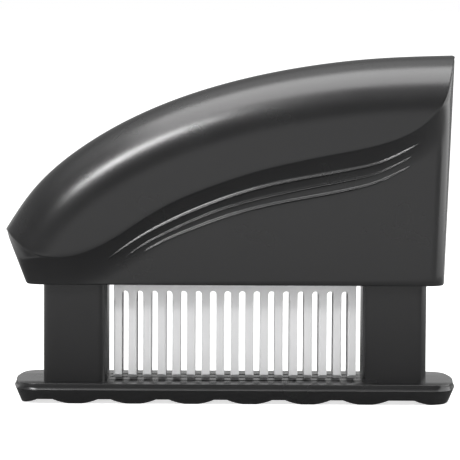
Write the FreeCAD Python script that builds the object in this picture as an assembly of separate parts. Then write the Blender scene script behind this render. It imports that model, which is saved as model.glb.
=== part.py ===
# Spring-loaded blade meat tenderizer: a hollow moulded handle cover carries three toothed
# steel combs, and slides down two hollow columns of the base against two springs.
# Millimetres. +X runs to the tall end of the cover, -Y is the front, +Z is up.
# The origin is under the middle of the tool, on the surface that it stands on.
import FreeCAD
import Part
import math
import os

V = FreeCAD.Vector

# Cover: overall size and the lean of its two ends
cover_length = 146.1
cover_height = 74.3
nose_height = 17.1        # the pointed nose, above the cover's bottom edge
nose_overhang = 6.6       # how far the nose stands out past the foot below it
tail_overhang = 2.75      # how far the tall end leans out from bottom to top
end_radius = 68.0         # plan curve of both ends
foot_radius = 0.6         # bottom edges of both ends

# Cover: grip, lower wall and the cove between them
grip_width = 37.0
arch_rise = 15.5          # depth of the rounded top of the grip
wall_width = 30.0         # the lower wall, across Y
corner_radius = 4.8       # upright corners of the lower wall
cove_height = 11.0        # hollow curve that runs in under the grip's lip
lip_ledge = 0.25
cove_lap = 0.04           # the cove's foot, sunk into the wall
end_lap = 0.15            # inner shapes, past the leaning ends that trim them
side_wall = 2.2
end_wall = 2.6
crown_wall = 2.8
cavity_rise = 6.5
overcut = 1.0             # how far cutting shapes run past the material that they cut

# Decorative ribs on both sides of the lower wall
rib_width = 2.3
rib_height = 0.8
rib_crest_width = 0.6
rib_crest_drop = 0.55     # the crest lies lower than the middle of the foot, so the top face leans out
rib_point = 2.5           # slanted length of both ends of a rib
rib_root = 1.0            # sunk into the wall

# Base plate
base_length = 144.1
base_reach = 0.95         # right end, past the cover's tall end
base_depth = 38.1
base_thickness = 6.6
rim_height = 4.6          # widest line of the plate, above the surface
rim_corner = 7.0
rim_end_radius = 60.0
top_inset = 2.4           # from the widest line to the flat top
top_corner = 10.0
shoulder_inset = 0.85     # middle of the rounded upper edge
shoulder_height = 5.85
skirt_inset = 2.0         # slanted side below the widest line
bump_height = 1.45
bump_width = 14.6
bump_flat = 0.12          # cut off the bottom of each bump, where the plate rests
bump_pitch = 18.77
bump_first = -51.5        # first even bump, from the plate's middle
bump_count = 6
end_bumps = (-71.0, 65.3)  # the two bumps at the plate's ends

# Blade combs
tooth_count = 17
tooth_pitch = 4.7625
tooth_width = 2.7
comb_thickness = 1.0
row_pitch = 8.0
tip_lift = 0.9            # tips above the base plate's top, at rest
tip_bevel = 1.3           # rise of the slanted cutting tip
edge_grind = 0.8          # width of the ground long edge of each tooth
grind_share = 0.5         # depth of that grind, as a share of the comb's thickness
grind_lap = 0.2           # the grinding wedge, past the steel on both faces
web_drop = 2.5            # comb web that shows below the cover
shoulder_gap = 0.5        # wide part of the comb, below the cover's guide walls
slot_width = 2.2
slot_end_room = 1.65      # slot, past the outer edge of the end tooth

# Movement
open_height = 31.7        # base plate's top to the cover's bottom edge, at rest
stroke = 22.0

# Columns
column_width = 20.6
column_pitch = 103.6
column_corner = 3.0
column_top = 62.0         # where the tall end's column stops
column_bore = 12.0        # room for the stop washer, below the shelf
boss_room = 0.6           # radial, the cover's boss in the column's upper bore
shelf_thickness = 3.0
slide_gap = 0.3           # between a column and the cover's guide faces
ceiling_room = 1.0        # column top to the cover's ceiling, pressed down
guide_wall = 2.4
guide_lift = 1.0          # guide walls stop this far above the cover's edge

# Guide rods, bushings and stops
rod_diameter = 5.0
rod_chamfer = 0.5
rod_thread = 9.0          # depth of the threaded hole in the rod's foot
stop_thread = 8.0         # length of the stop screw's shank in the rod
insert_recess = 0.5       # insert's top, below the rod's
rod_grip = 7.5            # rod held in its boss
boss_diameter = 12.0
insert_diameter = 7.6
bushing_diameter = 8.0
flange_diameter = 11.6
flange_thickness = 1.0
run_clearance = 0.08      # radial, rod in its bushing
fit_clearance = 0.05      # radial, parts that don't move on each other
stop_gap = 0.2
stop_room = 0.7           # stop screw to the base plate, pressed down
washer_diameter = 10.4
washer_thickness = 1.0
stop_head_height = 2.5
stop_head_diameter = 6.6
seat_thickness = 1.0

# Springs
spring_length = 30.0
wire_diameter = 1.0
coil_diameter = 9.6       # to the middle of the wire
coil_turns = 6.5
closed_pitch = 1.5        # first and last turn

# Cartridge: combs, spacers and clamp plates, bolted together and hung from the cover
cartridge_height = 22.5
cartridge_lift = 1.2      # above the cover's bottom edge
clamp_thickness = 3.0
clamp_chamfer = 0.6
clamp_margin = 1.2        # combs' web and clamp plates, in from the outer teeth
spacer_margin = 2.0
bolt_spacing = 26.0
bolt_rise = 11.0          # cross bolts, above the cartridge's foot
hanger_spacing = 26.0
hanger_rib = 8.0
thin_rib = 2.2
thin_rib_spacing = 60.0
hanger_depth = 8.0        # screws in the cover's ribs
hanger_recess = 3.0
screw_diameter = 3.0
screw_room = 0.1          # radial, screws and bolts in their through holes
head_diameter = 5.0
head_height = 2.0
head_room = 0.2           # radial, heads and nuts in their recesses
nut_width = 5.2
nut_height = 2.0

# Screws that hold the columns from below
foot_screw_spacing = 18.0
foot_screw_length = 14.0
foot_recess = 3.4
foot_head_diameter = 5.6
foot_head_height = 2.2

# Places worked out from the sizes above
cover_x = -base_reach / 2
base_x = cover_x + (cover_length - base_length) / 2 + base_reach
cover_floor = base_thickness + open_height
cover_top = cover_floor + cover_height
nose_z = cover_floor + nose_height
grip_half = grip_width / 2
wall_half = wall_width / 2
cavity_half = wall_half - side_wall
column_half_depth = cavity_half - slide_gap
corner_y = wall_half - corner_radius
cove_reach = grip_half - lip_ledge - wall_half
cove_radius = (cove_height ** 2 + cove_reach ** 2) / (2 * cove_reach)
column_places = (base_x - column_pitch / 2, base_x + column_pitch / 2)
tip_z = base_thickness + tip_lift
comb_half = (tooth_count - 1) / 2 * tooth_pitch + tooth_width / 2
row_places = (-row_pitch, 0.0, row_pitch)
guide_foot = cover_floor + guide_lift
cartridge_floor = cover_floor + cartridge_lift
cartridge_top = cartridge_floor + cartridge_height
spacer_thickness = row_pitch - comb_thickness
stack_half = row_pitch + comb_thickness / 2
shelf_floor = base_thickness + stroke + stop_room + stop_head_height + washer_thickness + stop_gap
shelf_top = shelf_floor + shelf_thickness
spring_foot = shelf_top + flange_thickness
spring_head = spring_foot + spring_length
boss_floor = spring_head + seat_thickness
rod_foot = shelf_floor - stop_gap
above = cover_top + cover_height    # clear of everything

# Outlines of the cover, seen from the front. Each point is a share of the cover's length,
# from the nose, and of the height from the nose up to the top of the crest.
crest_shape = [(0.0, 0.0), (0.062, 0.228), (0.165, 0.4605), (0.290, 0.6465),
               (0.450, 0.805), (0.666, 0.932), (0.820, 0.9795), (1.0, 1.0)]
crest_run_out = [(-0.030, -0.150), (1.060, 1.002)]
lip_shape = [(0.0, 0.005), (0.030, -0.062), (0.0806, -0.131), (0.1311, -0.1435),
             (0.1796, -0.118), (0.2324, -0.056), (0.2895, 0.037), (0.3531, 0.139),
             (0.4145, 0.213), (0.4803, 0.277), (0.5593, 0.343), (0.6414, 0.3945),
             (0.7214, 0.437), (0.8156, 0.487), (0.8747, 0.536), (0.9193, 0.598),
             (0.9530, 0.679), (0.9692, 0.736), (0.9853, 0.848)]
lip_run_out = [(-0.030, 0.085), (1.005, 1.080)]
rib_shapes = [
    [(0.2362, -0.143), (0.2780, -0.065), (0.3572, 0.052), (0.4628, 0.170), (0.5684, 0.258),
     (0.6738, 0.316), (0.7794, 0.367), (0.8321, 0.402), (0.8847, 0.464), (0.9153, 0.508)],
    [(0.2748, -0.1345), (0.3045, -0.079), (0.3573, -0.006), (0.4629, 0.114), (0.5685, 0.1955),
     (0.6740, 0.2555), (0.7795, 0.309), (0.8322, 0.346), (0.8690, 0.390), (0.9023, 0.437)],
    [(0.3111, -0.123), (0.3573, -0.0475), (0.4102, 0.0136), (0.4630, 0.066), (0.5686, 0.148),
     (0.6741, 0.203), (0.7797, 0.257), (0.8324, 0.2975), (0.8650, 0.336), (0.8981, 0.381)],
]
rib_depths = (5.0, 8.2, 10.9)   # how far below the lip each rib runs


def box(x0, x1, y0, y1, z0, z1):
    return Part.makeBox(x1 - x0, y1 - y0, z1 - z0, V(x0, y0, z0))


def upright(x, y, z0, z1, diameter):
    return Part.makeCylinder(diameter / 2, z1 - z0, V(x, y, z0), V(0, 0, 1))


def crosswise(x, z, y0, y1, diameter):
    return Part.makeCylinder(diameter / 2, y1 - y0, V(x, y0, z), V(0, 1, 0))


def tube(x, y, z0, z1, outer, inner):
    return upright(x, y, z0, z1, outer).cut(upright(x, y, z0 - overcut, z1 + overcut, inner))


def arc(start, middle, end):
    return Part.Arc(start, middle, end).toShape()


def spline(points):
    curve = Part.BSplineCurve()
    curve.interpolate(points)
    return curve.toShape()


def on_cover(share, y=0.0):
    along, up = share
    return V(cover_x + (along - 0.5) * cover_length, y, nose_z + up * (cover_top - nose_z))


def nose_end(z):
    return cover_x - cover_length / 2 + nose_overhang * (nose_z - z) / nose_height


def tail_end(z):
    return cover_x + cover_length / 2 - tail_overhang * (cover_top - z) / cover_height


def plan_outline(x_left, x_right, half_width, corner, radius, z):
    """A plate's outline: straight sides, rounded corners and gently curved ends."""
    reach = radius - corner
    rise = half_width - corner
    slope = math.asin(rise / reach)
    middle = math.pi / 4 + slope / 2
    corner_x = {}
    corner_mid = {}
    corner_end = {}
    for side, x_end in ((-1, x_left), (1, x_right)):
        centre = x_end - side * radius
        corner_x[side] = centre + side * reach * math.cos(slope)
        corner_mid[side] = (corner_x[side] + side * corner * math.cos(middle),
                            rise + corner * math.sin(middle))
        corner_end[side] = (centre + side * radius * math.cos(slope), radius * math.sin(slope))
    edges = []
    for side, x_end in ((1, x_right), (-1, x_left)):
        first = V(corner_x[-side], -side * half_width, z)
        last = V(corner_x[side], -side * half_width, z)
        mid_x, mid_y = corner_mid[side]
        end_x, end_y = corner_end[side]
        near, beyond = V(end_x, -side * end_y, z), V(end_x, side * end_y, z)
        edges.append(Part.makeLine(first, last))
        edges.append(arc(last, V(mid_x, -side * mid_y, z), near))
        edges.append(arc(near, V(x_end, 0, z), beyond))
        edges.append(arc(beyond, V(mid_x, side * mid_y, z), V(corner_x[side], side * half_width, z)))
    return Part.Wire(edges)


def cover_block(inset, half_width, corner):
    """Everything between the cover's two leaning ends, for one width and corner."""
    outlines = []
    for z in (cover_floor - max(inset, 0), cover_top + crown_wall):
        outlines.append(plan_outline(nose_end(z) + inset, tail_end(z) - inset,
                                     half_width, corner, end_radius, z))
    return Part.makeLoft(outlines, True, True)


def sweep(path, profile):
    pipe = Part.BRepOffsetAPI.MakePipeShell(Part.Wire([path]))
    pipe.setBiNormalMode(V(0, 1, 0))
    pipe.add(profile)
    pipe.build()
    pipe.makeSolid()
    return pipe.shape()


def frame_at_start(path):
    """Start of a path in the XZ plane, and the direction square to it that points up."""
    start = path.valueAt(path.FirstParameter)
    along = path.tangentAt(path.FirstParameter)
    return start, V(-along.z, 0, along.x)


def arch_body(half_width, rise, depth):
    """A long arch under the crest: rounded top, straight sides. Its top lies depth below."""
    path = spline([on_cover(p) for p in [crest_run_out[0]] + crest_shape + [crest_run_out[1]]])
    start, up = frame_at_start(path)
    leg = cover_height - rise + overcut
    hub = start - up * (depth + rise)
    side = V(0, half_width, 0)
    curve = Part.Arc(Part.Ellipse(hub + side, hub + up * rise, hub), 0, math.pi).toShape()
    feet = [hub - side, hub - side - up * leg, hub + side - up * leg, hub + side]
    return sweep(path, Part.Wire([curve] + Part.makePolygon(feet).Edges))


def below_lip():
    """The space under the grip's lip, through the whole width."""
    points = [on_cover(p) for p in [lip_run_out[0]] + lip_shape + [lip_run_out[1]]]
    low = cover_floor - cover_height
    loop = [points[-1], V(cover_length, 0, points[-1].z), V(cover_length, 0, low),
            V(-cover_length, 0, low), V(-cover_length, 0, points[0].z), points[0]]
    face = Part.Face(Part.Wire([spline(points)] + Part.makePolygon(loop).Edges))
    face.translate(V(0, -grip_width, 0))
    return face.extrude(V(0, 2 * grip_width, 0))


def cove_bow(height):
    """How far the cove stands out from the lower wall, at a height above its foot."""
    return cove_radius - math.sqrt(cove_radius ** 2 - height ** 2)


def cove(side):
    """The hollow curve that carries one side of the lower wall out to the grip's lip."""
    path = spline([on_cover(p) for p in [lip_run_out[0]] + lip_shape + [lip_run_out[1]]])
    start, up = frame_at_start(path)

    def at(y, depth):
        return start + V(0, side * y, 0) - up * depth

    half = cove_height / 2
    sunk = overcut
    top, foot = at(wall_half + cove_reach, 0), at(wall_half - cove_lap, cove_height)
    loop = [foot, at(wall_half - sunk, cove_height + sunk), at(wall_half - sunk, -sunk),
            at(wall_half + cove_reach - lip_ledge, -sunk), top]
    edges = [arc(top, at(wall_half + cove_bow(half), half), foot)] + Part.makePolygon(loop).Edges
    return sweep(path, Part.Wire(edges))


def rib(shape, depth, side):
    """A thin rib that tapers to both ends: its top face leans out, its underside is steep."""
    ground = wall_half + cove_bow(max(cove_height - depth, 0))
    middle = [on_cover(p) for p in shape]
    last = len(middle) - 1

    def outline(y, width, drop, drawn_in):
        upper, lower = [], []
        for i, point in enumerate(middle):
            along = (middle[min(i + 1, last)] - middle[max(i - 1, 0)]).normalize()
            across = V(-along.z, 0, along.x)
            share = math.sin(math.pi * i / last) ** 0.5 if 0 < i < last else 0
            inward = along * drawn_in * ((i == 0) - (i == last))
            place = V(0, side * y, 0) + point + inward - across * drop * share
            upper.append(place + across * width / 2 * share)
            lower.append(place - across * width / 2 * share)
        return Part.Wire([spline(upper), spline(lower[::-1])])

    foot = outline(wall_half - rib_root, rib_width, 0, 0)
    crest = outline(ground + rib_height, rib_crest_width, rib_crest_drop, rib_point)
    return Part.makeLoft([foot, crest], True, True)


def cover_ribs():
    """Everything that stands inside the cover: guide walls, bosses and hanging ribs."""
    ribs = []
    for x in column_places:
        for side in (-1, 1):
            near = x + side * (column_width / 2 + slide_gap)
            x0, x1 = sorted((near, near + side * guide_wall))
            ribs.append(box(x0, x1, -grip_width, grip_width, guide_foot, above))
        ribs.append(upright(x, 0, boss_floor, above, boss_diameter))
        ribs.append(box(x - thin_rib / 2, x + thin_rib / 2, -grip_width, grip_width,
                        column_top + stroke + ceiling_room, above))
    places = [(side * hanger_spacing / 2, hanger_rib) for side in (-1, 1)]
    places += [(n * thin_rib_spacing / 2, thin_rib) for n in (-1, 0, 1)]
    for place, thickness in places:
        x = base_x + place
        ribs.append(box(x - thickness / 2, x + thickness / 2, -grip_width, grip_width,
                        cartridge_top, above))
    return ribs


def cavity():
    """The hollow of the cover, before anything stands in it."""
    hollow = arch_body(cavity_half, cavity_rise, crown_wall)
    return hollow.common(cover_block(end_wall, cavity_half, corner_radius - side_wall))


def handle_cover(hollow):
    body = arch_body(grip_half, arch_rise, 0).common(cover_block(0, grip_width, corner_radius))
    feet = [e for e in body.Edges
            if abs(e.BoundBox.ZMin - cover_floor) < 0.01 and abs(e.BoundBox.ZMax - cover_floor) < 0.01
            and e.BoundBox.YLength > e.BoundBox.XLength]
    body = body.makeFillet(foot_radius, feet)
    core = cover_block(-end_lap, wall_half, corner_radius)
    cove_limit = cover_block(-end_lap, grip_half + overcut, grip_half + overcut - corner_y)
    coves = [cove(side).common(cove_limit) for side in (-1, 1)]
    waste = below_lip().cut([core] + coves)
    body = body.cut(waste)
    body = body.cut(hollow.cut(cover_ribs()))
    trims = [rib(shape, depth, side) for shape, depth in zip(rib_shapes, rib_depths) for side in (-1, 1)]
    body = body.fuse(trims)
    holes = [upright(x, 0, boss_floor - overcut, boss_floor + rod_grip, insert_diameter + 2 * fit_clearance)
             for x in column_places]
    for x, y in hanger_places():
        holes.append(upright(x, y, cartridge_top - overcut, cartridge_top + hanger_depth + overcut,
                             screw_diameter + 2 * fit_clearance))
    return body.cut(holes)


def hanger_places():
    return [(base_x + sx * hanger_spacing / 2, sy * row_pitch / 2) for sx in (-1, 1) for sy in (-1, 1)]


def bolt_places():
    return [base_x + n * bolt_spacing for n in (-1, 0, 1)]


def blade_comb(y):
    """One stamped comb: a web with a row of long teeth, each ground on one edge and its tip."""
    gap = tooth_pitch - tooth_width
    gap_top = cover_floor - web_drop - gap / 2
    shoulder = guide_foot - shoulder_gap
    narrow = comb_half - clamp_margin
    y0, y1 = y - comb_thickness / 2, y + comb_thickness / 2
    front, back = y0 - overcut, y1 + overcut
    low = tip_z - overcut
    lower = box(base_x - comb_half, base_x + comb_half, y0, y1, tip_z, shoulder)
    upper = box(base_x - narrow, base_x + narrow, y0, y1, shoulder, cartridge_top)
    cuts = []
    for k in range(tooth_count - 1):
        x = base_x - comb_half + tooth_width + gap / 2 + k * tooth_pitch
        cuts.append(box(x - gap / 2, x + gap / 2, front, back, low, gap_top))
        cuts.append(crosswise(x, gap_top, front, back, gap))
    for x in bolt_places():
        cuts.append(crosswise(x, cartridge_floor + bolt_rise, front, back, screw_diameter + 2 * screw_room))
    comb = lower.fuse(upper).removeSplitter().cut(cuts)
    grinds = []
    for k in range(tooth_count):
        x = base_x - comb_half + tooth_width / 2 + k * tooth_pitch
        side = 1 if k % 2 else -1
        outer, inner = x + side * (tooth_width / 2 + grind_lap), x + side * (tooth_width / 2 - edge_grind)
        edge = [V(outer, y0 - grind_lap, low), V(inner, y0 - grind_lap, low),
                V(outer, y0 + comb_thickness * grind_share, low)]
        grinds.append(Part.Face(Part.makePolygon(edge + edge[:1])).extrude(V(0, 0, gap_top - gap - low)))
        start = x - tooth_width / 2 - grind_lap
        tip = [V(start, y1, tip_z), V(start, y0 - grind_lap, tip_z - overcut),
               V(start, y0 - grind_lap, tip_z + tip_bevel), V(start, y1, tip_z)]
        grinds.append(Part.Face(Part.makePolygon(tip)).extrude(V(tooth_width + 2 * grind_lap, 0, 0)))
    return comb.cut(grinds)


def comb_spacer(y):
    """Block between two combs, with the recesses of the two screws that hang the cartridge."""
    half_length = comb_half - spacer_margin
    block = box(base_x - half_length, base_x + half_length, y - spacer_thickness / 2,
                y + spacer_thickness / 2, cartridge_floor, cartridge_top)
    cuts = [crosswise(x, cartridge_floor + bolt_rise, y - row_pitch, y + row_pitch,
                      screw_diameter + 2 * screw_room) for x in bolt_places()]
    for x, hanger_y in hanger_places():
        if abs(hanger_y - y) < 0.01:
            foot = cartridge_floor - overcut
            cuts.append(upright(x, y, foot, cartridge_top + overcut, screw_diameter + 2 * screw_room))
            cuts.append(upright(x, y, foot, cartridge_floor + hanger_recess, head_diameter + 2 * head_room))
    return block.cut(cuts)


def clamp_plate(side):
    """Outer plate of the cartridge, with recesses for the bolts' heads or nuts."""
    half_length = comb_half - clamp_margin
    y0, y1 = sorted((side * stack_half, side * (stack_half + clamp_thickness)))
    plate = box(base_x - half_length, base_x + half_length, y0, y1, cartridge_floor, cartridge_top)
    outside = side * (stack_half + clamp_thickness)
    rims = [e for e in plate.Edges if e.BoundBox.XLength > half_length
            and abs(e.BoundBox.Center.y - outside) < 0.01]
    plate = plate.makeChamfer(clamp_chamfer, rims)
    seat = side * (stack_half + clamp_thickness - head_height - head_room)
    low, high = sorted((seat, outside + side * overcut))
    widest = max(head_diameter, nut_width / math.cos(math.pi / 6))
    cuts = []
    for x in bolt_places():
        z = cartridge_floor + bolt_rise
        cuts.append(crosswise(x, z, y0 - overcut, y1 + overcut, screw_diameter + 2 * screw_room))
        cuts.append(crosswise(x, z, low, high, widest + 2 * head_room))
    return plate.cut(cuts)


def clamp_bolts():
    z = cartridge_floor + bolt_rise
    seat = stack_half + clamp_thickness - head_height - head_room
    bolts = []
    for x in bolt_places():
        shank = crosswise(x, z, -seat, seat + nut_height, screw_diameter)
        head = crosswise(x, z, -seat - head_height, -seat, head_diameter)
        bolts.append(shank.fuse(head).removeSplitter())
    return Part.makeCompound(bolts)


def hexagon(x, z, y, width):
    radius = width / 2 / math.cos(math.pi / 6)
    corners = [V(x + radius * math.cos(math.radians(60 * n)), y, z + radius * math.sin(math.radians(60 * n)))
               for n in range(6)]
    return Part.Face(Part.makePolygon(corners + corners[:1]))


def clamp_nuts():
    z = cartridge_floor + bolt_rise
    seat = stack_half + clamp_thickness - head_height - head_room
    nuts = []
    for x in bolt_places():
        body = hexagon(x, z, seat, nut_width).extrude(V(0, nut_height, 0))
        nuts.append(body.cut(crosswise(x, z, seat - overcut, seat + nut_height + overcut,
                                       screw_diameter + 2 * fit_clearance)))
    return Part.makeCompound(nuts)


def hanger_screws():
    seat = cartridge_floor + hanger_recess
    screws = []
    for x, y in hanger_places():
        shank = upright(x, y, seat, cartridge_top + hanger_depth, screw_diameter)
        head = upright(x, y, seat - head_height, seat, head_diameter)
        screws.append(shank.fuse(head).removeSplitter())
    return Part.makeCompound(screws)


def guide_rod(x):
    rod = upright(x, 0, rod_foot, boss_floor + rod_grip, rod_diameter)
    edge = [e for e in rod.Edges if abs(e.BoundBox.ZMax - boss_floor - rod_grip) < 0.01
            and e.BoundBox.ZLength < 0.01]
    rod = rod.makeChamfer(rod_chamfer, edge)
    return rod.cut(upright(x, 0, rod_foot - overcut, rod_foot + rod_thread,
                           screw_diameter + 2 * fit_clearance))


def threaded_inserts():
    return Part.makeCompound([
        tube(x, 0, boss_floor, boss_floor + rod_grip - insert_recess, insert_diameter,
             rod_diameter + 2 * fit_clearance)
        for x in column_places])


def spring_seats():
    return Part.makeCompound([
        tube(x, 0, spring_head, boss_floor, flange_diameter, rod_diameter + 2 * screw_room)
        for x in column_places])


def stop_washers():
    return Part.makeCompound([
        tube(x, 0, rod_foot - washer_thickness, rod_foot, washer_diameter, screw_diameter + 2 * screw_room)
        for x in column_places])


def stop_screws():
    top = rod_foot - washer_thickness
    screws = []
    for x in column_places:
        head = upright(x, 0, top - stop_head_height, top, stop_head_diameter)
        rim = [e for e in head.Edges if abs(e.BoundBox.ZMax - top + stop_head_height) < 0.01]
        head = head.makeChamfer(rod_chamfer, rim)
        screws.append(head.fuse(upright(x, 0, top, rod_foot + stop_thread, screw_diameter)).removeSplitter())
    return Part.makeCompound(screws)


def guide_bushings():
    bushings = []
    for x in column_places:
        sleeve = tube(x, 0, shelf_floor, spring_foot, bushing_diameter, rod_diameter + 2 * run_clearance)
        flange = tube(x, 0, shelf_top, spring_foot, flange_diameter, rod_diameter + 2 * run_clearance)
        bushings.append(sleeve.fuse(flange).removeSplitter())
    return Part.makeCompound(bushings)


def helix_point(turn, rise_at):
    angle = 2 * math.pi * turn
    return V(coil_diameter / 2 * math.cos(angle), coil_diameter / 2 * math.sin(angle), rise_at(turn))


def spring(x):
    """Compression spring: one unbroken wire, closer turns at both ends."""
    free_turns = coil_turns - 2
    free_pitch = (spring_length - wire_diameter - 2 * closed_pitch) / free_turns

    def rise_at(turn):
        low = min(turn, 1.0) * closed_pitch
        middle = min(max(turn - 1.0, 0.0), free_turns) * free_pitch
        return low + middle + max(turn - 1.0 - free_turns, 0.0) * closed_pitch

    def tangent(turn):
        step = 1e-4
        before, after = max(turn - step, 0), min(turn + step, coil_turns)
        return (helix_point(after, rise_at) - helix_point(before, rise_at)).normalize()

    edges = []
    steps = round(coil_turns * 4)
    for i in range(steps):
        start, end = coil_turns * i / steps, coil_turns * (i + 1) / steps
        edges += biarc(helix_point(start, rise_at), tangent(start), helix_point(end, rise_at), tangent(end))
    path = Part.Wire(edges)
    profile = Part.Wire([Part.Circle(helix_point(0, rise_at), tangent(0), wire_diameter / 2).toShape()])
    coil = Part.BRepOffsetAPI.MakePipeShell(path)
    coil.add(profile)
    coil.build()
    coil.makeSolid()
    solid = coil.shape()
    solid.translate(V(x, 0, spring_foot + wire_diameter / 2))
    print("spring at", x, "volume", round(solid.Volume, 2), "section times length",
          round(math.pi * wire_diameter ** 2 / 4 * path.Length, 2), "least gap",
          round(closed_pitch - wire_diameter, 2))
    return solid


def biarc(p0, t0, p1, t1):
    """Two arcs that leave p0 along t0 and reach p1 along t1."""
    chord = p1 - p0
    both = t0 + t1
    spread = 2 * (1 - t0.dot(t1))
    lean = chord.dot(both)
    reach = (math.sqrt(lean ** 2 + spread * chord.dot(chord)) - lean) / spread
    q0, q1 = p0 + t0 * reach, p1 - t1 * reach
    joint = (q0 + q1) * 0.5
    return [tangent_arc(p0, q0, joint), tangent_arc(joint, q1, p1)]


def tangent_arc(start, pole, end):
    """The arc from start to end whose end tangents meet at pole."""
    centre = (start + end) * 0.5
    half = (end - start).Length / 2
    angle = (pole - start).getAngle(end - start)
    middle = centre + (pole - centre).normalize() * (half * math.tan(angle / 2))
    return arc(start, middle, end)


def column(x, hollow):
    """Hollow column that slides in the cover, with a shelf for the spring's bushing."""
    half = column_width / 2
    solid = box(x - half, x + half, -column_half_depth, column_half_depth, base_thickness, column_top)
    posts = [e for e in solid.Edges if e.BoundBox.ZLength > column_corner
             and e.BoundBox.XLength + e.BoundBox.YLength < 0.01]
    solid = solid.makeFillet(column_corner, posts)
    ceiling = hollow.copy()
    ceiling.translate(V(0, 0, -stroke - ceiling_room))
    legs = box(x - column_width, x + column_width, -grip_width, grip_width, 0, cover_floor)
    solid = solid.common(ceiling.fuse(legs))
    foot = base_thickness - overcut
    cuts = [upright(x, 0, shelf_top, column_top + overcut, boss_diameter + 2 * boss_room),
            upright(x, 0, foot, shelf_floor, column_bore),
            upright(x, 0, shelf_floor - overcut, shelf_top + overcut, bushing_diameter + 2 * fit_clearance)]
    for y in (-foot_screw_spacing / 2, foot_screw_spacing / 2):
        cuts.append(upright(x, y, foot, foot_recess + foot_screw_length + overcut,
                            screw_diameter + 2 * fit_clearance))
    return solid.cut(cuts)


def column_screws():
    screws = []
    for x in column_places:
        for y in (-foot_screw_spacing / 2, foot_screw_spacing / 2):
            shank = upright(x, y, foot_recess, foot_recess + foot_screw_length, screw_diameter)
            head = upright(x, y, foot_recess - foot_head_height, foot_recess, foot_head_diameter)
            screws.append(shank.fuse(head).removeSplitter())
    return Part.makeCompound(screws)


def base_outline(inset, corner, z):
    half = base_length / 2 - inset
    return plan_outline(base_x - half, base_x + half, base_depth / 2 - inset, corner, rim_end_radius, z)


def base_plate():
    """Plate with a rounded rim, three long slots and a scalloped underside."""
    rim = base_outline(0, rim_corner, rim_height)
    crown = Part.makeLoft([rim, base_outline(shoulder_inset, (rim_corner + top_corner) / 2, shoulder_height),
                           base_outline(top_inset, top_corner, base_thickness)], True, False)
    skirt = Part.makeLoft([base_outline(skirt_inset, rim_corner, 0), rim], True, True)
    plate = crown.fuse(skirt)
    sag = bump_height + bump_flat
    radius = ((bump_width / 2) ** 2 + sag ** 2) / (2 * sag)
    bumps = [base_x + bump_first + n * bump_pitch for n in range(bump_count)]
    bumps += [base_x + x for x in end_bumps]
    valleys = box(-base_length, base_length, -base_depth, base_depth, -sag, bump_height)
    valleys = valleys.cut([crosswise(x, radius - bump_flat, -base_depth, base_depth, 2 * radius)
                           for x in bumps])
    plate = plate.cut(valleys)
    cuts = []
    slot_half = comb_half + slot_end_room - slot_width / 2
    for y in row_places:
        cuts.append(box(base_x - slot_half, base_x + slot_half, y - slot_width / 2, y + slot_width / 2,
                        -overcut, base_thickness + overcut))
        cuts += [upright(base_x + side * slot_half, y, -overcut, base_thickness + overcut, slot_width)
                 for side in (-1, 1)]
    for x in column_places:
        for y in (-foot_screw_spacing / 2, foot_screw_spacing / 2):
            cuts.append(upright(x, y, -overcut, base_thickness + overcut, screw_diameter + 2 * screw_room))
            cuts.append(upright(x, y, -overcut, foot_recess, foot_head_diameter + 2 * head_room))
    return plate.cut(cuts)


def build():
    hollow = cavity()
    parts = {"base_plate": base_plate(), "handle_cover": handle_cover(hollow)}
    for name, x in zip(("left", "right"), column_places):
        parts["column_" + name] = column(x, hollow)
        parts["guide_rod_" + name] = guide_rod(x)
        parts["spring_" + name] = spring(x)
    first = blade_comb(row_places[0])
    for name, y in zip(("front", "middle", "rear"), row_places):
        comb = first.copy()
        comb.translate(V(0, y - row_places[0], 0))
        parts["blade_comb_" + name] = comb
    for name, side in (("front", -1), ("rear", 1)):
        parts["comb_spacer_" + name] = comb_spacer(side * row_pitch / 2)
        parts["clamp_plate_" + name] = clamp_plate(side)
    parts["clamp_bolts"] = clamp_bolts()
    parts["clamp_nuts"] = clamp_nuts()
    parts["hanger_screws"] = hanger_screws()
    parts["threaded_inserts"] = threaded_inserts()
    parts["spring_seats"] = spring_seats()
    parts["stop_washers"] = stop_washers()
    parts["stop_screws"] = stop_screws()
    parts["guide_bushings"] = guide_bushings()
    parts["column_screws"] = column_screws()
    return parts


os.makedirs("parts", exist_ok=True)
for node, shape in build().items():
    shape.exportStep("parts/" + node + ".step")
    bounds = shape.BoundBox
    print(node, "solids", len(shape.Solids), "valid", shape.isValid(), "volume", round(shape.Volume, 1),
          "z", round(bounds.ZMin, 2), round(bounds.ZMax, 2), "x", round(bounds.XMin, 2), round(bounds.XMax, 2))
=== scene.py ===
# Looks of a spring-loaded blade meat tenderizer around its CAD frame. Blender 4.5, metres.
# +X runs to the tall end of the cover, -Y is the front, +Z is up.
import bpy
import bmesh
import math
import numpy as np
from mathutils import Matrix, Vector
from mathutils.bvhtree import BVHTree

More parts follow.
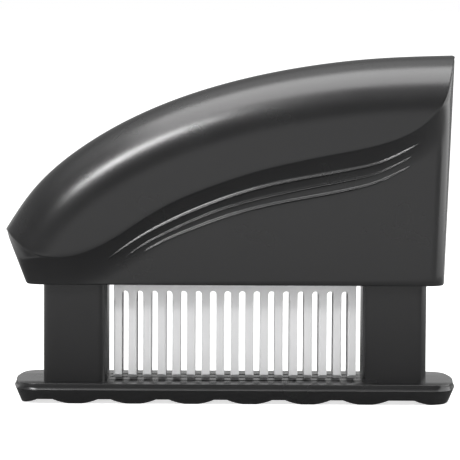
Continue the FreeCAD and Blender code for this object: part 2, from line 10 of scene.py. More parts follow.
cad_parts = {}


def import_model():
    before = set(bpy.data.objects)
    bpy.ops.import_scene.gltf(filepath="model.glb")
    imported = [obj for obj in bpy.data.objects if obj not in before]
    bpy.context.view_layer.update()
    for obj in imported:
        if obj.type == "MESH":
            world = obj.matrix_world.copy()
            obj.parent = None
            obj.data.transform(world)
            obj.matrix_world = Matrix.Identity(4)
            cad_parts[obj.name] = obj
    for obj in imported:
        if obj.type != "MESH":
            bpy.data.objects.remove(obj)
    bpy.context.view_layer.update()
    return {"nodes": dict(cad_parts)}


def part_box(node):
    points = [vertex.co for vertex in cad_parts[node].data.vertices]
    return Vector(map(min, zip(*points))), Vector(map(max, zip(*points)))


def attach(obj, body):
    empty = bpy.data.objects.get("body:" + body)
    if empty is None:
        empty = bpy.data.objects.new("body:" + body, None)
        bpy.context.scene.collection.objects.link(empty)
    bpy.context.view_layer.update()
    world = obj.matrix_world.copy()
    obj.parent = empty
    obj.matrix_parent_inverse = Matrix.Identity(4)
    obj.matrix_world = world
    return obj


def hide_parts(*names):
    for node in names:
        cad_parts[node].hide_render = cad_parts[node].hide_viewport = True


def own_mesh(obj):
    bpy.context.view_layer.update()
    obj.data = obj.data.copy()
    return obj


MM = 0.001

# Camera: the photograph's long view from a little above
camera_x = -0.28 * MM
camera_distance = 971.8 * MM
camera_height = 128.65 * MM
aim_height = 55.15 * MM
view_width = 150.6 * MM       # what the picture's width covers at the tool's middle plane
sensor_width = 36.0
camera_roll = 0.0049          # in radians
clip_start = 0.01

# Cover, in millimetres as in the CAD source
nose_height = 17.1            # the pointed nose, above the cover's bottom edge
nose_overhang = 6.6
tail_overhang = 2.75
end_radius = 68.0             # plan curve of both ends
grip_half = 18.5
grip_corner = 0.8             # rim where the grip meets its end face
arch_rise = 18.2              # depth of the grip's half-round top
wall_half = 15.0
wall_corner = 4.8
cove_height = 11.0            # hollow curve under the lip
cove_reach = 3.25
lip_ledge = 0.25
lip_round = 0.5
foot_round = 0.4
foot_fade = 10.0              # how far in from an end the foot's rounding pulls the columns along

# Lines in the side view, as shares of the cover's length and of its height above the nose
crest_shape = [(0.0, 0.0), (0.062, 0.228), (0.165, 0.4605), (0.290, 0.6465),
               (0.450, 0.805), (0.666, 0.932), (0.820, 0.9795), (1.0, 1.0)]
lip_shape = [(-0.030, 0.085), (0.0, 0.005), (0.030, -0.062), (0.0806, -0.131), (0.1311, -0.1435),
             (0.1796, -0.118), (0.2324, -0.056), (0.2895, 0.037), (0.3531, 0.139),
             (0.4145, 0.213), (0.4803, 0.277), (0.5593, 0.343), (0.6414, 0.3945),
             (0.7214, 0.437), (0.8156, 0.487), (0.8747, 0.536), (0.9193, 0.598),
             (0.9530, 0.679), (0.9692, 0.736), (0.9853, 0.848), (1.005, 1.080)]
rib_shapes = [
    [(0.2362, -0.143), (0.2780, -0.065), (0.3572, 0.052), (0.4628, 0.170), (0.5684, 0.258),
     (0.6738, 0.316), (0.7794, 0.367), (0.8321, 0.402), (0.8847, 0.464), (0.9153, 0.508)],
    [(0.2748, -0.1345), (0.3045, -0.079), (0.3573, -0.006), (0.4629, 0.114), (0.5685, 0.1955),
     (0.6740, 0.2555), (0.7795, 0.309), (0.8322, 0.346), (0.8690, 0.390), (0.9023, 0.437)],
    [(0.3111, -0.110), (0.3573, -0.0445), (0.4102, 0.0136), (0.4630, 0.066), (0.5686, 0.148),
     (0.6741, 0.203), (0.7797, 0.257), (0.8324, 0.2975), (0.8650, 0.336), (0.8981, 0.381)],
]

# Ribs. The section says how far up the wall from the rib's middle, and its height as a share of the whole.
rib_sizes = [(1.27, 1.16), (1.0, 0.86), (1.12, 0.86)]    # width against the section's, and height
rib_section = [(0.78, 0.0), (0.68, 0.0), (0.49, 0.10), (0.02, 0.78), (-0.12, 0.95), (-0.22, 1.0),
               (-0.32, 0.93), (-0.44, 0.50), (-0.58, 0.0), (-0.68, 0.0)]
rib_tip = 0.15                # size of a rib's very ends, as a share of its middle
rib_swell = 0.4               # power of the sine that a rib swells by
rib_foot_gap = 1.6            # least wall left between the last rib and the foot
rib_row_gap = 0.5             # added to the last rib's depth when that is worked out

# Grid of the cover's outer surface
line_points = 900             # points along the crest and the lip
rib_points = 300
end_columns = [0, 0.03, 0.12, 0.27, 0.48, 0.68, 0.85]    # first columns, from either end
column_step = (0.2, 0.72)     # least and most
step_growth = (6, 0.05)       # the step grows from this far in, by this much a millimetre
grip_rows = 40
lip_rows = (0.6, 0.3, 0.1)    # shares of the lip's rounding
foot_rows = (1, 0.5, 0.15, 0)
rows_over_ribs = 8
rows_between_ribs = 3
rows_under_ribs = 18
lip_share = 0.3               # the lip's rounding never takes more of the grip than this
corner_share = 0.95           # nor a corner more of the half width
shell_reach = 1.4             # CAD faces this close to the new outer surface belong to the old one

# Base plate's upper edge, from the rim up: lean of each strip in degrees, and the share of the
# height above the rim where it ends
rim_height = 4.6
base_edge = [(34, 0.10), (30, 0.20), (25, 0.30), (19, 0.41), (13, 0.53), (9, 0.66), (7, 0.80), (8, 0.93),
             (26, 0.966), (46, 0.985), (66, 1.0)]
crown_tilt = 0.2              # CAD faces that look up more than this and lie above the rim are replaced

# Angles between faces from which an edge is drawn sharp, in degrees
sharp_angle = 35
base_sharp_angle = 22

# Distances that count as none when meshes are joined, in metres
same_place = 1e-6
same_seam = 2e-6
same_level = 5e-6

# Springs in the columns, in millimetres
spring_radius = 4.8
wire_radius = 0.5
coil_turns = 6.5
closed_pitch = 1.5            # first and last turn
turn_points = 40
wire_sides = 12

# Studio. Reflections see these bands of brightness, by the sine of the elevation for the room and by
# the distance as a share of table_reach for the table, where the dim bands near the object are painted
# shadow.
ambient = 0.66
front_bands = [(0.0, 0.75), (0.08, 0.55), (0.18, 0.16), (0.45, 0.14), (0.7, 0.5)]
back_bands = [(0.0, 0.8), (0.13, 0.7), (0.25, 0.3), (0.6, 0.3), (0.8, 1.0)]
# Painted shadow on the table, seen only in reflections: dim near the object, white further out.
table_painted_shade_bands = [(0.05, 0.12), (0.15, 0.22), (0.28, 0.5), (0.5, 0.85), (0.9, 1.0)]
table_reach = 1.0
front_to_back = 0.15          # the room's two halves blend over this much on either side
# On the table this darker right side is painted shade; in the room it is lighting.
side_shade = 0.35             # how dark the right side is in reflections, before the right strip
room_side = (0.22, 0.42)      # where that shade starts and is full
# Where the table's painted shade on the right starts and is full, seen only in reflections.
table_painted_shade_side = (0.22, 0.45)
floor_half = 60.0
floor_drop = 0.02 * MM        # so that the table and the flat bumps don't share a plane
floor_colour = 0.8
floor_roughness = 0.9
floor_glow = 0.72
lamp_aim = Vector((0, 0, 0.06))
shine_gap = 0.02              # the part for reflections stands this far behind its lamp
# Name, azimuth, elevation, distance, size, radiance, radiance of the part for reflections, and the
# direction that the lamp's width runs in
lamps = [
    ("top_softbox", -25, 84, 1.2, (1.22, 0.95), 1.6, 3.3, (1, 0, 0)),
    ("left_lamp", -38.7, 43.9, 1.2, (0.475, 0.18), 18.0, 11.0, (0.859, -0.139, 0.493)),
    ("right_strip", 92, 20, 0.32, (0.46, 0.34), 0.8, 1.5, (0, 1, 0)),
]

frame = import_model()
nodes = frame["nodes"]


def link(thing):
    bpy.context.scene.collection.objects.link(thing)
    return thing


def new_material(name):
    material = bpy.data.materials.new(name)
    material.use_nodes = True
    tree = material.node_tree
    shader = tree.nodes["Principled BSDF"]
    return material, tree, shader


def add(tree, kind, **settings):
    """A node with its properties and its sockets' own values set by name."""
    node = tree.nodes.new(kind)
    for key, value in settings.items():
        if hasattr(node, key):
            setattr(node, key, value)
        else:
            node.inputs[key.replace("_", " ")].default_value = value
    return node


def noise(tree, scale, detail, roughness, stretch=(1, 1, 1)):
    """Noise in the object's own space, in metres, so scale is in features a metre."""
    place = add(tree, "ShaderNodeTexCoord")
    mapping = add(tree, "ShaderNodeMapping", Scale=stretch)
    texture = add(tree, "ShaderNodeTexNoise", Scale=scale, Detail=detail, Roughness=roughness)
    tree.links.new(place.outputs["Object"], mapping.inputs["Vector"])
    tree.links.new(mapping.outputs["Vector"], texture.inputs["Vector"])
    return texture.outputs["Fac"]


def ramp(tree, source, low, high, low_value, high_value):
    """Maps source from low..high to low_value..high_value."""
    node = add(tree, "ShaderNodeMapRange", From_Min=low, From_Max=high, To_Min=low_value, To_Max=high_value)
    tree.links.new(source, node.inputs["Value"])
    return node.outputs["Result"]


def tint(tree, source, low_colour, high_colour):
    """Mixes two colours by source."""
    node = add(tree, "ShaderNodeMix", data_type="RGBA")
    tree.links.new(source, node.inputs["Factor"])
    first, second = [socket for socket in node.inputs if socket.type == "RGBA"]
    first.default_value = (*low_colour, 1)
    second.default_value = (*high_colour, 1)
    return [socket for socket in node.outputs if socket.type == "RGBA"][0]


def bump(tree, shader, source, strength, depth):
    """Fine relief from source, with its depth in metres."""
    node = add(tree, "ShaderNodeBump", Strength=strength, Distance=depth)
    tree.links.new(source, node.inputs["Height"])
    tree.links.new(node.outputs["Normal"], shader.inputs["Normal"])


def black_plastic():
    """Moulded black plastic: very fine grain, a soft sheen and a little uneven gloss."""
    material, tree, shader = new_material("black_plastic_look")
    grain = noise(tree, 2200, 3, 0.6)
    cloud = noise(tree, 60, 3, 0.55)
    colour = tint(tree, cloud, (0.0135, 0.0135, 0.014), (0.018, 0.018, 0.0185))
    tree.links.new(colour, shader.inputs["Base Color"])
    tree.links.new(ramp(tree, cloud, 0.3, 0.7, 0.24, 0.28), shader.inputs["Roughness"])
    shader.inputs["Specular IOR Level"].default_value = 0.62
    bump(tree, shader, grain, 0.35, 0.03 * MM)
    return material


def blade_steel():
    """Rolled stainless strip: fine streaks along each tooth."""
    material, tree, shader = new_material("blade_steel_look")
    streaks = noise(tree, 1400, 4, 0.6, stretch=(1, 1, 0.06))
    cloud = noise(tree, 140, 2, 0.5)
    colour = tint(tree, cloud, (0.89, 0.89, 0.895), (0.94, 0.94, 0.945))
    tree.links.new(colour, shader.inputs["Base Color"])
    shader.inputs["Metallic"].default_value = 0.28
    tree.links.new(ramp(tree, streaks, 0.25, 0.75, 0.48, 0.60), shader.inputs["Roughness"])
    bump(tree, shader, streaks, 0.15, 0.02 * MM)
    return material


def bright_metal(name, low_colour, high_colour, roughness):
    """Turned or plated metal with fine machining lines."""
    material, tree, shader = new_material(name)
    lines = noise(tree, 1800, 3, 0.5, stretch=(0.2, 0.2, 1))
    colour = tint(tree, lines, low_colour, high_colour)
    tree.links.new(colour, shader.inputs["Base Color"])
    shader.inputs["Metallic"].default_value = 1.0
    uneven = ramp(tree, lines, 0.3, 0.7, roughness - 0.05, roughness + 0.06)
    tree.links.new(uneven, shader.inputs["Roughness"])
    bump(tree, shader, lines, 0.1, 0.01 * MM)
    return material


def white_acetal():
    """Smooth off-white bushing plastic."""
    material, tree, shader = new_material("white_acetal_look")
    cloud = noise(tree, 300, 3, 0.5)
    colour = tint(tree, cloud, (0.74, 0.74, 0.71), (0.82, 0.82, 0.79))
    tree.links.new(colour, shader.inputs["Base Color"])
    tree.links.new(ramp(tree, cloud, 0.3, 0.7, 0.38, 0.46), shader.inputs["Roughness"])
    return material


looks = {
    "black_plastic": black_plastic(),
    "blade_steel": blade_steel(),
    "fastener_steel": bright_metal("fastener_steel_look", (0.50, 0.50, 0.51), (0.62, 0.62, 0.63), 0.3),
    "spring_steel": bright_metal("spring_steel_look", (0.42, 0.42, 0.43), (0.56, 0.56, 0.57), 0.28),
    "brass": bright_metal("brass_look", (0.70, 0.52, 0.24), (0.80, 0.62, 0.32), 0.3),
    "white_acetal": white_acetal(),
}
for node in nodes.values():
    for place in node.material_slots:
        place.material = looks[place.material.name]


def smooth_line(points, count):
    """A natural cubic spline through points, as count points close together."""
    points = np.array(points, float)
    steps = np.linalg.norm(np.diff(points, axis=0), axis=1)
    knots = np.concatenate([[0], np.cumsum(steps)])
    last = len(points) - 1
    matrix = np.eye(last + 1)
    right = np.zeros_like(points)
    slopes = np.diff(points, axis=0) / steps[:, None]
    for i in range(1, last):
        matrix[i, i - 1:i + 2] = steps[i - 1], 2 * (steps[i - 1] + steps[i]), steps[i]
        right[i] = 6 * (slopes[i] - slopes[i - 1])
    bend = np.linalg.solve(matrix, right)
    at = np.linspace(0, knots[-1], count)
    k = np.clip(np.searchsorted(knots, at) - 1, 0, last - 1)
    step = steps[k][:, None]
    a = (knots[k + 1] - at)[:, None] / step
    b = 1 - a
    curve = ((a ** 3 - a) * bend[k] + (b ** 3 - b) * bend[k + 1]) * step ** 2 / 6
    return a * points[k] + b * points[k + 1] + curve


def upward(line):
    """Unit vectors square to a line in the side view, on its upper side."""
    along = np.gradient(line, axis=0)
    along /= np.linalg.norm(along, axis=1)[:, None]
    return np.stack([-along[:, 1], along[:, 0]], axis=1)


def depth_under(line, x, z, batch=4000):
    """How far points in the side view lie under a line, square to it."""
    places = np.stack([x.ravel(), z.ravel()], axis=1)
    normals = upward(line)
    depth = np.empty(len(places))
    for start in range(0, len(places), batch):
        some = places[start:start + batch]
        gaps = ((some[:, None] - line[None]) ** 2).sum(axis=2)
        near = gaps.argmin(axis=1)
        depth[start:start + batch] = ((line[near] - some) * normals[near]).sum(axis=1)
    return depth.reshape(x.shape)


def half_plan(half_width, from_end, corner):
    """Half width near an end: the end's long curve, then its corner, then the straight side."""
    corner = np.minimum(corner, corner_share * half_width)
    reach, rise = end_radius - corner, half_width - corner
    level = np.sqrt(reach ** 2 - rise ** 2)
    centre, tangent = end_radius - level, end_radius - end_radius * level / reach
    end = np.sqrt((2 * end_radius * from_end - from_end ** 2).clip(0))
    turn = rise + np.sqrt((corner ** 2 - (centre - from_end) ** 2).clip(0))
    return np.where(from_end <= tangent, end, np.where(from_end < centre, turn, half_width))


class Cover:
    """The cover's outer surface, as a grid of columns from the crest down to the bottom edge."""

    def __init__(self):
        low, high = (np.array(corner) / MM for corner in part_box("handle_cover"))
        self.floor, self.top = low[2], high[2]
        self.left, self.right = low[0], high[0]
        self.nose_z = self.floor + nose_height
        self.crest = smooth_line([self.place(p) for p in crest_shape], line_points)
        self.crest[:, 1] = np.minimum(self.crest[:, 1], self.top)
        self.lip = smooth_line([self.place(p) for p in lip_shape], line_points)
        self.shares = self.column_shares()
        foot_left = self.left + nose_overhang
        foot_right = self.right - tail_overhang
        self.foot_x = foot_left + self.shares * (foot_right - foot_left)
        self.top_x = self.left + self.shares * (self.right - self.left)
        self.top_z = np.interp(self.top_x, self.crest[:, 0], self.crest[:, 1])
        # The crest's far end rounds over into the end face.
        rim = np.clip(self.right - self.top_x, 0, grip_corner)
        self.top_z -= grip_corner - np.sqrt(grip_corner ** 2 - (grip_corner - rim) ** 2)
        self.length = np.hypot(self.top_x - self.foot_x, self.top_z - self.floor)

    def place(self, share):
        """A point in the side view from its shares of the length and of the height above the nose."""
        return (self.left + share[0] * (self.right - self.left),
                self.nose_z + share[1] * (self.top - self.nose_z))

    def column_shares(self):
        """Shares of the cover's length, close together at both ends, where the outline turns."""
        length = self.right - self.left
        least, most = column_step
        start, growth = step_growth
        places = list(end_columns)
        while places[-1] < length / 2:
            places.append(places[-1] + min(max(least, least + (places[-1] - start) * growth), most))
        half = np.array(places[:-1]) / length
        return np.concatenate([half, 1 - half[::-1]])

    def on_columns(self, points):
        """Points in the side view as shares along the cover and shares up their columns."""
        rise = points[:, 1:] - self.floor
        cross = (self.top_x - self.foot_x) * rise - (self.top_z - self.floor) * (points[:, :1] - self.foot_x)
        inside = (cross[:, 0] <= 0) & (cross[:, -1] > 0)
        cross, rise = cross[inside], rise[inside, 0]
        after = (cross > 0).argmax(axis=1)
        rows = np.arange(len(cross))
        before_value, after_value = cross[rows, after - 1], cross[rows, after]
        share = before_value / (before_value - after_value)
        along = self.shares[after - 1] + share * (self.shares[after] - self.shares[after - 1])
        return along, rise / (np.interp(along, self.shares, self.top_z) - self.floor)

    def rib_rows(self, lip_up):
        """For each point of each rib's section, its depth under the lip and its height on every column."""
        rows = []
        for shape, (breadth, rise) in zip(rib_shapes, rib_sizes):
            middle = smooth_line([self.place(p) for p in shape], rib_points)
            swell = np.sin(np.linspace(0, math.pi, len(middle))).clip(0) ** rib_swell
            width = rib_tip + (1 - rib_tip) * swell
            along_middle, _ = self.on_columns(middle)
            height = np.interp(self.shares, along_middle, width, left=0, right=0)
            for offset, out in rib_section:
                line = middle + upward(middle) * (offset * breadth * width)[:, None]
                along, up = self.on_columns(line)
                under_lip = np.interp(along, self.shares, lip_up) - up
                depth = under_lip * np.interp(along, self.shares, self.length)
                rows.append((np.interp(self.shares, along, depth), out * rise * height))
        return rows

    def rows(self):
        """Depth under the lip along each column, and rib height, one column of the array per row."""
        lip_up = np.interp(self.shares, *self.on_columns(self.lip))
        lip_up = np.minimum(lip_up, 1 - lip_round / self.length)
        above = (1 - lip_up) * self.length
        below = lip_up * self.length
        flat = np.zeros_like(above)
        rounding = np.minimum(lip_round, above * lip_share)
        depths = [-rounding - (above - rounding) * (1 - v ** 2) for v in np.linspace(0, 1, grip_rows)]
        depths += [-rounding * share for share in lip_rows]
        upper_count = len(depths)
        heights = [flat] * upper_count

        ribs = self.rib_rows(lip_up)
        room = np.minimum(1, (below - rib_foot_gap) / (ribs[-1][0] + rib_row_gap))
        anchors = [(flat, flat)] + [(depth * room, height) for depth, height in ribs]
        anchors.append((below - foot_round, flat))
        steps = [rows_over_ribs] + [1] * (len(ribs) - 1) + [rows_under_ribs]
        for n in range(1, len(rib_shapes)):
            steps[n * len(rib_section)] = rows_between_ribs
        for (start, start_height), (end, end_height), count in zip(anchors, anchors[1:], steps):
            for n in range(count):
                depths.append(start + (end - start) * n / count)
                heights.append(start_height + (end_height - start_height) * n / count)
        depths += [below - foot_round * share for share in foot_rows]
        heights += [flat] * len(foot_rows)
        return lip_up, rounding, upper_count, np.array(depths).T, np.array(heights).T

    def surface(self):
        """Places of the front half's grid, in millimetres."""
        lip_up, rounding, upper_count, depth, rib = self.rows()
        up = lip_up[:, None] - depth / self.length[:, None]
        x = self.foot_x[:, None] + (self.top_x - self.foot_x)[:, None] * up
        z = self.floor + (self.top_z[:, None] - self.floor) * up

        # The grip is half round: it widens with the distance under the crest.
        under_crest = depth_under(self.crest, x, z).clip(0)
        turn = 1 - np.minimum(under_crest, arch_rise) / arch_rise
        grip = grip_half * np.sqrt((1 - turn ** 2).clip(0))

        # The wall is set back under the lip by a hollow curve, and the ribs stand on it.
        under_lip = depth_under(self.lip, x, z).clip(0)
        cove_radius = (cove_height ** 2 + cove_reach ** 2) / (2 * cove_reach)
        cove = cove_radius - np.sqrt(cove_radius ** 2 - (cove_height - under_lip).clip(0) ** 2)
        wall = np.minimum(wall_half + cove, grip - lip_ledge) + rib
        above_lip = (-depth / rounding[:, None]).clip(0, 1)
        grip = grip - lip_ledge * (1 - above_lip) ** 2

        # The foot's edge is rounded, and both ends lean and are curved in plan.
        foot = (foot_round - (z - self.floor)).clip(0)
        inset = foot_round - np.sqrt((foot_round ** 2 - foot ** 2).clip(0))
        upper = np.arange(depth.shape[1]) < upper_count
        half_width = np.where(upper, grip, wall - inset)
        corner = np.where(upper, grip_corner, wall_corner)
        nose_x = self.left + nose_overhang * (self.nose_z - z) / nose_height
        tail_x = self.right - tail_overhang * (self.top - z) / (self.top - self.floor)
        for end_x, side in ((nose_x, 1), (tail_x, -1)):
            x = x + side * inset * (1 - (x - end_x) * side / foot_fade).clip(0, 1)
        y = np.minimum(half_plan(half_width, (x - nose_x - inset).clip(0), corner),
                       half_plan(half_width, (tail_x - x - inset).clip(0), corner))
        y[:, 0] = 0
        y[[0, -1]] = 0
        return np.stack([x, -y, z], axis=2)

    def mesh(self):
        """The surface on both sides, closed by the CAD cover's own hollow inside."""
        grid = self.surface() * MM
        columns, rows = grid.shape[:2]
        places = np.concatenate([grid.reshape(-1, 3), (grid * (1, -1, 1)).reshape(-1, 3)])
        faces = []
        for i in range(columns - 1):
            for j in range(rows - 1):
                corners = [i * rows + j, i * rows + j + 1, (i + 1) * rows + j + 1, (i + 1) * rows + j]
                faces.append(corners)
                faces.append([corner + columns * rows for corner in corners[::-1]])
        outside = bpy.data.meshes.new("cover_outside")
        outside.from_pydata(places.tolist(), [], faces)

        # Only the hollow of the CAD cover stays: its outer shell and the flat ring under it go.
        hull = bmesh.new()
        hull.from_mesh(nodes["handle_cover"].data)
        bmesh.ops.remove_doubles(hull, verts=hull.verts, dist=same_place)
        level = self.floor * MM
        skin = BVHTree.FromPolygons(places.tolist(), faces)
        shell = [f for f in hull.faces if all(abs(v.co.z - level) < same_level for v in f.verts)
                 or skin.find_nearest(f.calc_center_median())[3] < shell_reach * MM]
        bmesh.ops.delete(hull, geom=shell, context="FACES")
        hollow = {max(hull.verts, key=lambda v: v.co.z)}
        edge = set(hollow)
        while edge:
            edge = {e.other_vert(v) for v in edge for e in v.link_edges} - hollow
            hollow |= edge
        bmesh.ops.delete(hull, geom=[v for v in hull.verts if v not in hollow], context="VERTS")

        hull.from_mesh(outside)
        bpy.data.meshes.remove(outside)
        bmesh.ops.remove_doubles(hull, verts=hull.verts, dist=same_seam)
        rims = [e for e in hull.edges if e.is_boundary]
        bmesh.ops.triangle_fill(hull, use_beauty=True, edges=rims, normal=(0, 0, -1))
        flaps = [f for f in hull.faces if any(e.is_boundary for e in f.edges)
                 and any(len(e.link_faces) > 2 for e in f.edges)]
        bmesh.ops.delete(hull, geom=flaps, context="FACES")
        bmesh.ops.recalc_face_normals(hull, faces=hull.faces)
        mesh = bpy.data.meshes.new("cover_skin")
        hull.to_mesh(mesh)
        hull.free()
        return mesh


def base_mesh():
    """The CAD base plate with its upper edge made again: from a flared rim up a steep side to a flat top."""
    plate = bmesh.new()
    plate.from_mesh(nodes["base_plate"].data)
    bmesh.ops.remove_doubles(plate, verts=plate.verts, dist=same_place)
    top = max(v.co.z for v in plate.verts)
    rim_z = rim_height * MM
    crown = [f for f in plate.faces if f.normal.z > crown_tilt
             and all(v.co.z > rim_z - same_level for v in f.verts)]
    bmesh.ops.delete(plate, geom=crown, context="FACES")

    neighbours = {}
    for edge in plate.edges:
        if edge.is_boundary and all(abs(v.co.z - rim_z) < same_level for v in edge.verts):
            for v in edge.verts:
                neighbours.setdefault(v, []).append(edge.other_vert(v))
    ring = [next(iter(neighbours))]
    while len(ring) < len(neighbours):
        ring.append([v for v in neighbours[ring[-1]] if len(ring) < 2 or v is not ring[-2]][0])

    places = np.array([v.co for v in ring])
    ahead = np.roll(places, -1, axis=0) - places
    ahead /= np.linalg.norm(ahead, axis=1)[:, None]
    along = ahead + np.roll(ahead, 1, axis=0)
    inward = np.stack([-along[:, 1], along[:, 0], 0 * along[:, 0]], axis=1)
    inward /= np.linalg.norm(inward, axis=1)[:, None]
    if ((places.mean(axis=0) - places) * inward).sum() < 0:
        inward = -inward
    rise = np.array([share for _, share in base_edge]) * (top - rim_z)
    lean = np.radians([angle for angle, _ in base_edge])
    inset = np.cumsum(np.diff(rise, prepend=0) * np.tan(lean))
    lower = ring
    for reach, height in zip(inset, rise):
        level = [plate.verts.new(place + n * reach + (0, 0, height)) for place, n in zip(places, inward)]
        for n in range(len(ring)):
            m = (n + 1) % len(ring)
            plate.faces.new([lower[n], lower[m], level[m], level[n]])
        lower = level

    rims = [e for e in plate.edges if e.is_boundary and all(abs(v.co.z - top) < same_level for v in e.verts)]
    bmesh.ops.triangle_fill(plate, use_beauty=True, edges=rims, normal=(0, 0, 1))
    bmesh.ops.recalc_face_normals(plate, faces=plate.faces)
    mesh = bpy.data.meshes.new("base_skin")
    plate.to_mesh(mesh)
    plate.free()
    return mesh


def finish_piece(name, mesh, body, node, slot, sharp=sharp_angle):
    """Adds a piece that stands for a CAD node and rides on its body."""
    mesh.polygons.foreach_set("use_smooth", [True] * len(mesh.polygons))
    mesh.set_sharp_from_angle(angle=math.radians(sharp))
    mesh.materials.append(looks[slot])
    piece = link(bpy.data.objects.new(name, mesh))
    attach(piece, body)
    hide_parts(node)
    return piece


def spring(node):
    """A coil of round wire in a column, with close turns at both ends."""
    low, high = (np.array(corner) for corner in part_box(node))
    centre = (low + high) / 2
    turns = np.linspace(0, coil_turns, round(coil_turns * turn_points) + 1)
    free = coil_turns - 2
    height = (high[2] - low[2]) / MM - 2 * wire_radius
    pitch = (height - 2 * closed_pitch) / free
    rise = np.interp(turns, [0, 1, 1 + free, coil_turns],
                     [0, closed_pitch, closed_pitch + pitch * free, height])
    angle = turns * 2 * math.pi
    outward = np.stack([np.cos(angle), np.sin(angle), 0 * angle], axis=1)
    path = outward * spring_radius + np.stack([0 * rise, 0 * rise, rise + wire_radius], axis=1)
    along = np.gradient(path, axis=0)
    along /= np.linalg.norm(along, axis=1)[:, None]
    across = np.cross(along, outward)
    sides = wire_sides
    places, faces = [], []
    for point, out, over in zip(path, outward, across):
        for n in range(sides):
            a = 2 * math.pi * n / sides
            places.append(point + wire_radius * (math.cos(a) * out + math.sin(a) * over))
    for i in range(len(path) - 1):
        for n in range(sides):
            m = (n + 1) % sides
            faces.append([i * sides + n, i * sides + m, (i + 1) * sides + m, (i + 1) * sides + n])
    faces.append(list(range(sides))[::-1])
    faces.append([(len(path) - 1) * sides + n for n in range(sides)])
    places = np.array(places) * MM + (centre[0], centre[1], low[2])
    mesh = bpy.data.meshes.new(node + "_coil")
    mesh.from_pydata(places.tolist(), [], faces)
    piece = finish_piece(node + "_coil", mesh, "base", node, "spring_steel")
    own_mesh(piece)


def camera():
    """The photograph's view: from the front, a little above and slightly rolled."""
    data = bpy.data.cameras.new("camera")
    data.sensor_width = sensor_width
    eye = Vector((camera_x, -camera_distance, camera_height))
    aim = Vector((camera_x, 0, aim_height))
    data.lens = sensor_width * (aim - eye).length / view_width
    data.clip_start = clip_start
    thing = link(bpy.data.objects.new("camera", data))
    turn = (aim - eye).to_track_quat("-Z", "Y").to_matrix().to_4x4()
    thing.matrix_world = Matrix.Translation(eye) @ turn @ Matrix.Rotation(camera_roll, 4, "Z")
    bpy.context.scene.camera = thing


def softbox(name, azimuth, elevation, distance, size, radiance, shine, along):
    """A flat lamp that faces the object, and a part of it that only reflections see, as strong as shine.
    Azimuth 0 is the front and runs towards +X; the lamp's width runs along the direction given."""
    azimuth, elevation = math.radians(azimuth), math.radians(elevation)
    away = Vector((math.sin(azimuth) * math.cos(elevation), -math.cos(azimuth) * math.cos(elevation),
                   math.sin(elevation)))
    across = away.cross(Vector(along)).normalized()
    turn = Matrix((across.cross(away), across, away)).transposed().to_4x4()
    for part, strength, gap in (("", radiance, 0), ("_shine", shine, shine_gap)):
        data = bpy.data.lights.new(name + part, "AREA")
        data.shape = "RECTANGLE"
        data.size, data.size_y = size
        data.energy = strength * math.pi * size[0] * size[1]
        thing = link(bpy.data.objects.new(name + part, data))
        thing.matrix_world = Matrix.Translation(lamp_aim + away * (distance + gap)) @ turn
        thing.visible_diffuse = not part


def seen_by(tree, *rays):
    """1 for any of these kinds of ray, and 0 for the rest."""
    path = add(tree, "ShaderNodeLightPath")
    total = path.outputs[rays[0]]
    for ray in rays[1:]:
        both = add(tree, "ShaderNodeMath", operation="MAXIMUM")
        tree.links.new(total, both.inputs[0])
        tree.links.new(path.outputs[ray], both.inputs[1])
        total = both.outputs[0]
    return total


def bands(tree, source, stops):
    """Brightness that changes with source, from 0 to 1, through these stops."""
    node = add(tree, "ShaderNodeValToRGB")
    elements = node.color_ramp.elements
    for n, (position, value) in enumerate(stops):
        stop = elements[n] if n < 2 else elements.new(1)
        stop.position = position
        stop.color = (value, value, value, 1)
    tree.links.new(source, node.inputs[0])
    return node.outputs["Color"]


def choose(tree, factor, first, second):
    """The first shader where factor is 0, and the second where it is 1."""
    node = add(tree, "ShaderNodeMixShader")
    tree.links.new(factor, node.inputs["Fac"])
    tree.links.new(first, node.inputs[1])
    tree.links.new(second, node.inputs[2])
    return node.outputs[0]


def world():
    """Soft grey light, white where the camera looks past the object, and a grey room for reflections."""
    scene = bpy.context.scene
    scene.world = bpy.data.worlds.new("studio")
    scene.world.use_nodes = True
    tree = scene.world.node_tree
    soft = tree.nodes["Background"]
    soft.inputs["Color"].default_value = (1, 1, 1, 1)
    soft.inputs["Strength"].default_value = ambient
    white = add(tree, "ShaderNodeBackground", Color=(1, 1, 1, 1), Strength=1.0)
    place = add(tree, "ShaderNodeTexCoord")
    split = add(tree, "ShaderNodeSeparateXYZ")
    tree.links.new(place.outputs["Generated"], split.inputs[0])
    halves = []
    for stops in (front_bands, back_bands):
        room = add(tree, "ShaderNodeBackground")
        tree.links.new(bands(tree, split.outputs["Z"], stops), room.inputs["Color"])
        tree.links.new(ramp(tree, split.outputs["X"], *room_side, 1, side_shade), room.inputs["Strength"])
        halves.append(room.outputs[0])
    behind = ramp(tree, split.outputs["Y"], -front_to_back, front_to_back, 0, 1)
    shine = choose(tree, seen_by(tree, "Is Glossy Ray"), soft.outputs[0], choose(tree, behind, *halves))
    mix = choose(tree, seen_by(tree, "Is Camera Ray", "Is Transmission Ray"), shine, white.outputs[0])
    tree.links.new(mix, tree.nodes["World Output"].inputs["Surface"])


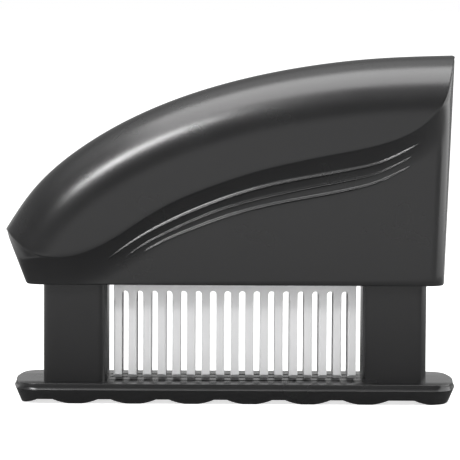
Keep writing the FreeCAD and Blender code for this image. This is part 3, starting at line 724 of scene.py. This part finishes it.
def floor():
    """A pale table. It keeps the object's shadow and is white for the camera. In reflections it shows a
    painted
    shadow: it glows dim near the object and towards the right, and white further out. From below it is
    clear."""
    mesh = bpy.data.meshes.new("floor")
    corners = [(-1, -1), (1, -1), (1, 1), (-1, 1)]
    mesh.from_pydata([(x * floor_half, y * floor_half, -floor_drop) for x, y in corners], [], [(0, 1, 2, 3)])
    thing = link(bpy.data.objects.new("floor", mesh))
    material, tree, shader = new_material("floor_look")
    shader.inputs["Base Color"].default_value = (floor_colour, floor_colour, floor_colour, 1)
    shader.inputs["Roughness"].default_value = floor_roughness
    shader.inputs["Specular IOR Level"].default_value = 0.0
    glow = add(tree, "ShaderNodeEmission", Strength=floor_glow)
    both = add(tree, "ShaderNodeAddShader")
    tree.links.new(shader.outputs[0], both.inputs[0])
    tree.links.new(glow.outputs[0], both.inputs[1])
    place = add(tree, "ShaderNodeTexCoord")
    length = add(tree, "ShaderNodeVectorMath", operation="LENGTH")
    tree.links.new(place.outputs["Object"], length.inputs[0])
    away = ramp(tree, length.outputs["Value"], 0, table_reach, 0, 1)
    # Painted shadow for reflections only: the table glows dim near the object and darker towards the right.
    shine = add(tree, "ShaderNodeEmission")
    tree.links.new(bands(tree, away, table_painted_shade_bands), shine.inputs["Color"])
    split = add(tree, "ShaderNodeSeparateXYZ")
    tree.links.new(place.outputs["Object"], split.inputs[0])
    tree.links.new(ramp(tree, split.outputs["X"], *table_painted_shade_side, 1, side_shade), shine.inputs["Strength"])
    seen = choose(tree, seen_by(tree, "Is Camera Ray"), shader.outputs[0], both.outputs[0])
    seen = choose(tree, seen_by(tree, "Is Glossy Ray"), seen, shine.outputs[0])
    under = add(tree, "ShaderNodeNewGeometry")
    clear = add(tree, "ShaderNodeBsdfTransparent")
    seen = choose(tree, under.outputs["Backfacing"], seen, clear.outputs[0])
    tree.links.new(seen, tree.nodes["Material Output"].inputs["Surface"])
    mesh.materials.append(material)


finish_piece("cover_skin", Cover().mesh(), "handle", "handle_cover", "black_plastic")
finish_piece("base_skin", base_mesh(), "base", "base_plate", "black_plastic", base_sharp_angle)
for side in ("left", "right"):
    spring("spring_" + side)

camera()
world()
floor()
for lamp in lamps:
    softbox(*lamp)
bpy.context.scene.view_settings.view_transform = "Standard"
